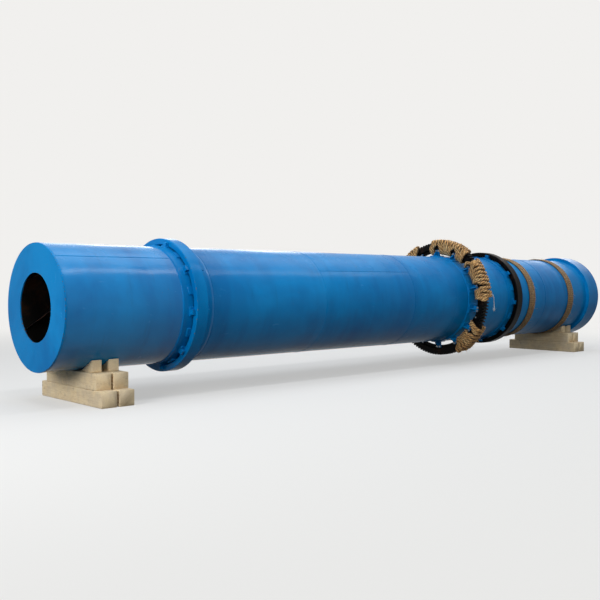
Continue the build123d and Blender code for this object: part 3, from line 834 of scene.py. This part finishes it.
# Fillets round the brackets' feet and the tyres' pads
plate_beads = []
for x_from, x_to, half_width, count, first in (
        (GEAR_X - FOOT_FEED_LENGTH, GEAR_X + FOOT_OUTLET_LENGTH, FOOT_HALF_WIDTH, BRACKETS, FIRST_BRACKET),
        (FEED_TYRE_X - PAD_HALF_LENGTH, FEED_TYRE_X + PAD_HALF_LENGTH, PAD_HALF_WIDTH, PADS, FIRST_PAD),
        (OUTLET_TYRE_X - PAD_HALF_LENGTH, OUTLET_TYRE_X + PAD_HALF_LENGTH, PAD_HALF_WIDTH, PADS, FIRST_PAD)):
    clocks = first + np.arange(count) * 360 / count
    plate_beads.append(round_the_drum(*bead_round_plate(x_from, x_to, half_width), clocks))
piece("foot_and_pad_welds", join(plate_beads), part_enamel)


# Bolts

def prism(rows, sides):
    """A prism along +X: at each (x, r) row a regular polygon of radius r, capped at both ends."""
    rows = np.array(rows)
    angle = np.arange(sides) / sides * TAU
    y, z = rows[:, 1:] * np.cos(angle), rows[:, 1:] * np.sin(angle)
    points = np.stack([np.broadcast_to(rows[:, :1], y.shape), y, z], axis=-1)
    return points.reshape(-1, 3), tube_faces(len(rows), sides)


def bolt(size, grip):
    """A hexagon bolt along X, head at x < 0 and nut past the grip, with washers and the shank's end."""
    hexagon = size * 0.9
    head, nut, washer = size * 0.63, size * 0.85, size * 0.15
    chamfer = size * 0.06
    nut_end = grip + washer + nut
    shank_end = nut_end + size * 0.3
    return join([
        prism([(-washer, size), (0, size)], 16),
        prism([(-washer - head, hexagon * 0.88), (-washer - head + chamfer, hexagon), (-washer, hexagon)], 6),
        prism([(grip, size), (grip + washer, size)], 16),
        prism([(grip + washer, hexagon), (nut_end - chamfer, hexagon), (nut_end, hexagon * 0.88)], 6),
        prism([(grip + nut, size / 2), (shank_end - chamfer, size / 2), (shank_end, size / 2 - chamfer)], 10),
    ])


bracket_clocks = FIRST_BRACKET + BRACKET_STEP * np.arange(BRACKETS)
points, faces = bolt(BRACKET_BOLT, UPRIGHT_THICK + 2 * WEB_HALF)
bolts = []
for side in (-BRACKET_BOLT_SIDE, BRACKET_BOLT_SIDE):
    place = [GEAR_X - WEB_HALF - UPRIGHT_THICK, side, BRACKET_BOLT_R]
    bolts.append(round_the_drum(points + place, faces, bracket_clocks))
piece("gear_bracket_bolts", join(bolts), zinc, smooth=False)

# Two bolts through the lugs of each joint of the gear, one on each side of its web, lying round the drum
points, faces = bolt(LUG_BOLT, LUG_GRIP)
lying = np.stack([-points[:, 1], points[:, 0], points[:, 2]], axis=-1)
bolts = []
for side in (-LUG_BOLT_SIDE, LUG_BOLT_SIDE):
    place = [GEAR_X + side, -LUG_GRIP / 2, LUG_BOLT_R]
    bolts.append(round_the_drum(lying + place, faces, np.array([JOINT_CLOCK, JOINT_CLOCK + 180])))
piece("gear_joint_bolts", join(bolts), zinc, smooth=False)


# Timbers and chocks

def sawn_rows(length, count):
    """Places along a sawn piece: close together at both of its ends, and even between them."""
    tip = np.array([0, 0.0012, 0.005])
    return np.concatenate([tip, np.linspace(0.012, length - 0.012, count), length - tip[::-1]])


def timber(rng, x_from, x_to, low, high):
    """A sawn timber that lies along Y: a rectangle in X and Z with its corners worn round, carried along
    it, a little thinner in places and drawn in at its ends as exp(-distance / 3 mm)."""
    half = np.array([x_to - x_from, high[2] - low[2]]) / 2
    centre = np.array([x_from + x_to, low[2] + high[2]]) / 2
    columns = 104
    section = rounded_loop(np.array([(-1, -1), (1, -1), (1, 1), (-1, 1)]) * half, columns, 3)
    length = high[1] - low[1]
    t = sawn_rows(length, 60)
    worn = 1 - 0.025 * np.exp(-np.minimum(t, length - t) / 0.003) - np.abs(wander(rng, t, 0.003, 0.5))
    rows = section * worn[:, None, None]
    rows = np.clip(rows + rng.normal(scale=0.0003, size=rows.shape), -half, half)
    y = np.broadcast_to((low[1] + t)[:, None], rows.shape[:2])
    points = np.stack([centre[0] + rows[..., 0], y, centre[1] + rows[..., 1]], axis=-1)
    # The pith, about which the rings run, lies near the lower face
    pith = rng.uniform(-0.12, 0.12, 2) + np.array([0.0, -0.09])
    grain = np.broadcast_to(t[:, None] + rng.uniform(0, 9), rows.shape[:2])
    marks = np.stack([rows[..., 0] - pith[0], rows[..., 1] - pith[1], grain], axis=-1)
    return points.reshape(-1, 3), tube_faces(len(t), columns), marks.reshape(-1, 3)


def chock(rng, x_from, x_to, toe, heel, low, high):
    """A wedge sawn from a timber: its three-cornered outline in Y and Z, with the corners worn round, is
    carried along X and drawn in at both ends as exp(-distance / 4 mm). Its grain runs along Y."""
    columns = 72
    outline = rounded_loop(np.array([(toe, low), (heel, low), (heel, high)]), columns, 3)
    length = x_to - x_from
    t = sawn_rows(length, 8)
    worn = 1 - 0.02 * np.exp(-np.minimum(t, length - t) / 0.004)
    middle = outline.mean(axis=0)
    flat = middle + (outline - middle) * worn[:, None, None]
    flat = flat + rng.normal(scale=0.0004, size=flat.shape)
    x = np.broadcast_to((x_from + t)[:, None], flat.shape[:2])
    points = np.stack([x, flat[..., 0], np.maximum(flat[..., 1], low)], axis=-1)
    # Its pith is that of the timber it came from, 0.2 m aside and 0.16 m under it
    marks = np.stack([x - x_from - 0.2, flat[..., 1] - low + 0.16, flat[..., 0] + rng.uniform(0, 9)], axis=-1)
    return points.reshape(-1, 3), tube_faces(len(t), columns), marks.reshape(-1, 3)


for k, end in enumerate(("feed", "outlet")):
    for level in ("lower", "upper"):
        name = f"{end}_{level}_timbers"
        low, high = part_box(name)
        rng = np.random.default_rng(TIMBER_SEED + k)
        pair = [timber(rng, low[0], low[0] + TIMBER_WIDTH, low, high),
                timber(rng, high[0] - TIMBER_WIDTH, high[0], low, high)]
        piece(f"{end}_{level}_sawn_timbers", join_marked(pair), pine, (name,))

for k, end in enumerate(("feed", "outlet")):
    name = f"{end}_chocks"
    low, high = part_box(name)
    rng = np.random.default_rng(CHOCK_SEED + k)
    wedges = []
    for x_from, x_to in ((low[0], low[0] + CHOCK_WIDTH), (high[0] - CHOCK_WIDTH, high[0])):
        for side in (-1, 1):
            wedges.append(chock(rng, x_from, x_to, side * CHOCK_TOE, side * high[1], low[2], high[2]))
    piece(f"{end}_sawn_chocks", join_marked(wedges), pine, (name,))


# Floor, lamps and camera

def seen(add):
    """1 for a ray of the camera, also by way of a glossy surface or glass, and 0 for any other."""
    rays = add("LightPath").node.outputs
    mirrored = add("Math", rays["Is Glossy Ray"], rays["Is Transmission Ray"], operation="MAXIMUM")
    return add("Math", rays["Is Camera Ray"], mirrored, operation="MAXIMUM")


def softbox(name, place, target, width, height, watts, colour, spread=180):
    """A rectangular lamp that faces its target; its grid keeps the light within `spread` degrees."""
    light = bpy.data.lights.new(name, "AREA")
    light.shape = "RECTANGLE"
    light.size, light.size_y = width, height
    light.energy = watts
    light.spread = np.radians(spread)
    light.color = linear(colour)[:3]
    lamp = bpy.data.objects.new(name, light)
    lamp.location = place
    lamp.rotation_mode = "QUATERNION"
    lamp.rotation_quaternion = (Vector(target) - Vector(place)).to_track_quat("-Z", "Y")
    bpy.context.scene.collection.objects.link(lamp)


# The floor fades into the backdrop's white from 6 to 16 m away. It throws little light back on the drum
floor_mesh = bpy.data.meshes.new("floor")
reach = 90.0
floor_mesh.from_pydata([(-reach, -reach, 0), (reach, -reach, 0), (reach, reach, 0), (-reach, reach, 0)], [],
                       [(0, 1, 2, 3)])
floor = bpy.data.objects.new("floor", floor_mesh)
bpy.context.scene.collection.objects.link(floor)
floor_finish, add, place = start("pale_floor")
in_view = seen(add)
far = add("MapRange", add("VectorMath", place, operation="LENGTH"), 6.0, 16.0, 0.45, 1.0, **SMOOTH)
tint = add("Mix", in_view, "#403E3B", "#E6E5E2", data_type="RGBA")
painted = add("BsdfPrincipled", Base_Color=tint, Roughness=0.9, Specular_IOR_Level=0.0)
fade = add("Math", far, in_view, operation="MULTIPLY")
add("OutputMaterial", add("MixShader", fade, painted, add("Emission", WHITE, 1.0)))
floor_mesh.materials.append(floor_finish)

# The room lights the drum a soft blue-grey and shows white
world = bpy.data.worlds.new("studio")
bpy.context.scene.world = world
world.use_nodes = True
world.node_tree.nodes.clear()
add = partial(add_node, world.node_tree)
room = add("Background", "#DDE6EE", 0.42)
add("OutputWorld", add("MixShader", seen(add), room, add("Background", WHITE, 1.0)))

# Each lamp: its place, what it faces, its width and height in metres, its watts and its colour. The grid
# of the one at the feed end keeps a bright patch off the floor
softbox("sky_panel", (0.0, 1.0, 9.5), (0.0, 0.0, 1.0), 17.0, 5.0, 380, "#F4F8FF")
softbox("sky_strip", (0.0, -3.2, 8.5), (0.0, 0.0, 1.0), 17.0, 0.9, 330, "#F8FAFF")
softbox("front_panel", (-6.0, -12.0, 6.0), (-1.0, 0.0, 1.1), 9.0, 4.0, 360, "#FFFDF8")
softbox("back_panel", (5.0, 12.0, 6.0), (0.0, 0.0, 1.1), 9.0, 4.0, 300, "#F8FAFF")
softbox("feed_end_panel", (-14.0, -2.5, 4.0), (-6.0, 0.0, 1.1), 5.0, 3.5, 200, "#FFFFFF", 100)
softbox("outlet_end_panel", (14.0, 2.0, 4.0), (6.0, 0.0, 1.1), 5.0, 3.5, 200, "#FFFFFF")

# The camera stands ahead of the feed end and aside, at eye height, and takes in the whole drum
camera_data = bpy.data.cameras.new("camera")
camera_data.sensor_width = 36.0
camera_data.lens = 47.6
camera_data.clip_end = 300.0
camera = bpy.data.objects.new("camera", camera_data)
camera.location = (-9.99, -8.75, 1.42)
camera.rotation_mode = "QUATERNION"
camera.rotation_quaternion = Vector((0.682, 0.7314, -0.022)).to_track_quat("-Z", "Y")
bpy.context.scene.collection.objects.link(camera)
bpy.context.scene.camera = camera
bpy.context.scene.view_settings.view_transform = "Standard"
